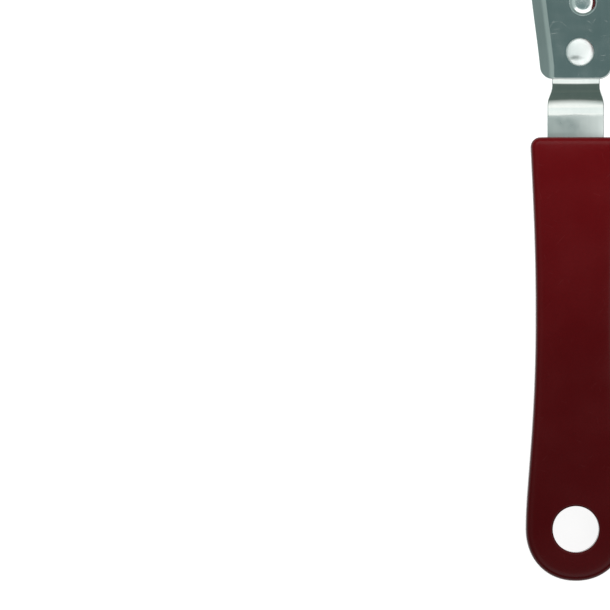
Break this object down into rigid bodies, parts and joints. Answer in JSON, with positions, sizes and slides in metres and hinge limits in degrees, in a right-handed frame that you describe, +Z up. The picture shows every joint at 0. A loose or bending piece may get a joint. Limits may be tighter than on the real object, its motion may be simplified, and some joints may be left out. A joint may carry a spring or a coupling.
{
  "type": "manual can opener",
  "caption": "Hand-held can opener: two riveted steel arms with moulded grips, a geared cutting wheel and feed wheel, and a butterfly key.",
  "frame": {"origin": "on the table under the middle of the closed opener as it lies on the backs of its grips", "axes": "+Y along the opener towards the head's tip, +Z up from the table, out of the key's side, +X towards the drive arm"},
  "size_m": [0.057, 0.2, 0.0401],
  "materials": {
    "grip_plastic": "satin moulded dark red",
    "key_plastic": "satin moulded dark red",
    "plate_steel": "polished nickel-plated sheet, fine scratches",
    "tang_steel": "polished sheet, slightly duller than the plates",
    "blade_steel": "ground and turned",
    "gear_steel": "sintered, satin",
    "rivet_steel": "polished"
  },
  "bodies": {
    "drive_arm": {"drive_grip_front": "grip_plastic", "drive_grip_back": "grip_plastic", "drive_grip_screw_lower": "rivet_steel", "drive_grip_screw_upper": "rivet_steel", "drive_arm_tang": "tang_steel", "drive_arm_plate": "plate_steel", "drive_arm_rivet_lower": "rivet_steel", "drive_arm_rivet_upper": "rivet_steel", "shaft_bush": "gear_steel", "pivot_rivet": "rivet_steel", "pivot_washer": "rivet_steel"},
    "cutter_arm": {"cutter_grip_front": "grip_plastic", "cutter_grip_back": "grip_plastic", "cutter_grip_screw_lower": "rivet_steel", "cutter_grip_screw_upper": "rivet_steel", "cutter_arm_tang": "tang_steel", "cutter_arm_plate": "plate_steel", "cutter_arm_rivet_lower": "rivet_steel", "cutter_arm_rivet_upper": "rivet_steel", "cutter_stud": "rivet_steel", "cutter_spacer": "gear_steel"},
    "cutter": {"cutting_wheel": "blade_steel", "cutter_gear": "gear_steel"},
    "key": {"feed_wheel": "gear_steel", "drive_gear": "gear_steel", "drive_shaft": "rivet_steel", "key_washer": "rivet_steel", "key_shell_left": "key_plastic", "key_shell_right": "key_plastic", "key_pin": "rivet_steel"}
  },
  "joints": [
    {"name": "handle_open", "type": "hinge", "parent": "drive_arm", "child": "cutter_arm", "pos_m": [-0.002, 0.073, 0.0115], "axis": [0, 0, -1], "range_deg": [0, 45]},
    {"name": "key_spin", "type": "hinge", "parent": "drive_arm", "child": "key", "pos_m": [0.004, 0.059, 0.0095], "axis": [0, 0, 1], "continuous": true},
    {"name": "cutter_spin", "type": "hinge", "parent": "cutter_arm", "child": "cutter", "pos_m": [-0.012, 0.059, 0.005], "axis": [0, 0, 1], "continuous": true}
  ],
  "couplings": [
    {"joint": "cutter_spin", "follows": "key_spin", "ratio": -0.6}
  ]
}
